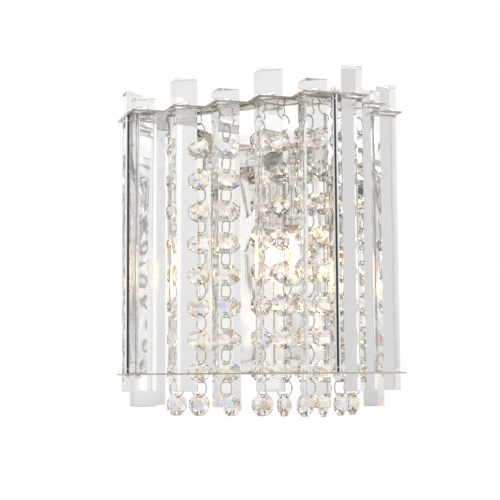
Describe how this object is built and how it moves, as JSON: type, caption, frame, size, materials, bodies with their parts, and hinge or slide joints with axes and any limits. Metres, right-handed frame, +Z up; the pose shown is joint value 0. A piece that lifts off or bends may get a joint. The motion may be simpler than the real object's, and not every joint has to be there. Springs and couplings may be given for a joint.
{
  "type": "crystal wall sconce",
  "caption": "Wall sconce: zigzag chrome plates hold upright triangular glass prisms around hanging strings of linked octagon crystal beads and small plug-in lamps.",
  "frame": {"origin": "middle of the two wall screw holes, on the wall plane", "axes": "+Z up, +Y into the wall, front towards -Y, +X to the right seen from the front"},
  "size_m": [0.18, 0.1035, 0.2136],
  "materials": {
    "chrome": "polished",
    "ring_wire": "polished",
    "mirror_plate": "mirror polished",
    "zinc_steel": "zinc plated",
    "lamp_metal": "dark satin",
    "prism_glass": "clear polished",
    "bead_glass": "clear facetted",
    "bulb_glass": "clear",
    "ceramic": "glazed"
  },
  "bodies": {
    "sconce": {"back_plate": "mirror_plate", "bottom_frame": "chrome", "frame_brackets": "chrome", "front_prism_1": "prism_glass", "front_prism_2": "prism_glass", "front_prism_3": "prism_glass", "front_prism_4": "prism_glass", "front_prism_5": "prism_glass", "lamp_arm": "lamp_metal", "lamp_channel": "lamp_metal", "lamp_sleeves": "lamp_metal", "lamp_sockets": "ceramic", "left_prism_1": "prism_glass", "left_prism_2": "prism_glass", "left_prism_3": "prism_glass", "lower_cap_nuts": "chrome", "prism_pins": "chrome", "right_prism_1": "prism_glass", "right_prism_2": "prism_glass", "right_prism_3": "prism_glass", "strap_studs": "zinc_steel", "stud_cap_nuts": "chrome", "tie_rods": "chrome", "top_frame": "chrome", "upper_cap_nuts": "chrome", "wall_strap": "zinc_steel"},
    "string_1": {"string_1_beads": "bead_glass", "string_1_rings": "ring_wire"},
    "string_2": {"string_2_beads": "bead_glass", "string_2_rings": "ring_wire"},
    "string_3": {"string_3_beads": "bead_glass", "string_3_rings": "ring_wire"},
    "string_4": {"string_4_beads": "bead_glass", "string_4_rings": "ring_wire"},
    "string_5": {"string_5_beads": "bead_glass", "string_5_rings": "ring_wire"},
    "string_6": {"string_6_beads": "bead_glass", "string_6_rings": "ring_wire"},
    "string_7": {"string_7_beads": "bead_glass", "string_7_rings": "ring_wire"},
    "string_8": {"string_8_beads": "bead_glass", "string_8_rings": "ring_wire"},
    "string_9": {"string_9_beads": "bead_glass", "string_9_rings": "ring_wire"},
    "left_lamp": {"left_bulb": "bulb_glass", "left_bulb_base": "ceramic"},
    "right_lamp": {"right_bulb": "bulb_glass", "right_bulb_base": "ceramic"}
  },
  "joints": [
    {"name": "string_1_swing", "type": "hinge", "parent": "sconce", "child": "string_1", "pos_m": [-0.0465, -0.07, 0.0815], "axis": [1, 0, 0], "range_deg": [-1.5, 1.5]},
    {"name": "string_2_swing", "type": "hinge", "parent": "sconce", "child": "string_2", "pos_m": [-0.03, -0.07, 0.0815], "axis": [1, 0, 0], "range_deg": [-1.5, 1.5]},
    {"name": "string_3_swing", "type": "hinge", "parent": "sconce", "child": "string_3", "pos_m": [-0.0066, -0.07, 0.0815], "axis": [1, 0, 0], "range_deg": [-1.5, 1.5]},
    {"name": "string_4_swing", "type": "hinge", "parent": "sconce", "child": "string_4", "pos_m": [0.015, -0.07, 0.0815], "axis": [1, 0, 0], "range_deg": [-1.5, 1.5]},
    {"name": "string_5_swing", "type": "hinge", "parent": "sconce", "child": "string_5", "pos_m": [0.03, -0.07, 0.0815], "axis": [1, 0, 0], "range_deg": [-1.5, 1.5]},
    {"name": "string_6_swing", "type": "hinge", "parent": "sconce", "child": "string_6", "pos_m": [0.04401, -0.07, 0.0815], "axis": [1, 0, 0], "range_deg": [-1.5, 1.5]},
    {"name": "string_7_swing", "type": "hinge", "parent": "sconce", "child": "string_7", "pos_m": [0.05606, -0.06956, 0.0815], "axis": [0.7071, 0.7071, 0], "range_deg": [-1.5, 1.5]},
    {"name": "string_8_swing", "type": "hinge", "parent": "sconce", "child": "string_8", "pos_m": [0.0565, -0.0435, 0.0815], "axis": [0, 1, 0], "range_deg": [-1.5, 1.5]},
    {"name": "string_9_swing", "type": "hinge", "parent": "sconce", "child": "string_9", "pos_m": [0.0565, -0.0235, 0.0815], "axis": [0, 1, 0], "range_deg": [-1.5, 1.5]},
    {"name": "left_lamp_pull", "type": "slide", "parent": "sconce", "child": "left_lamp", "axis": [0, 0, -1], "range_m": [0, 0.01]},
    {"name": "right_lamp_pull", "type": "slide", "parent": "sconce", "child": "right_lamp", "axis": [0, 0, -1], "range_m": [0, 0.01]}
  ]
}
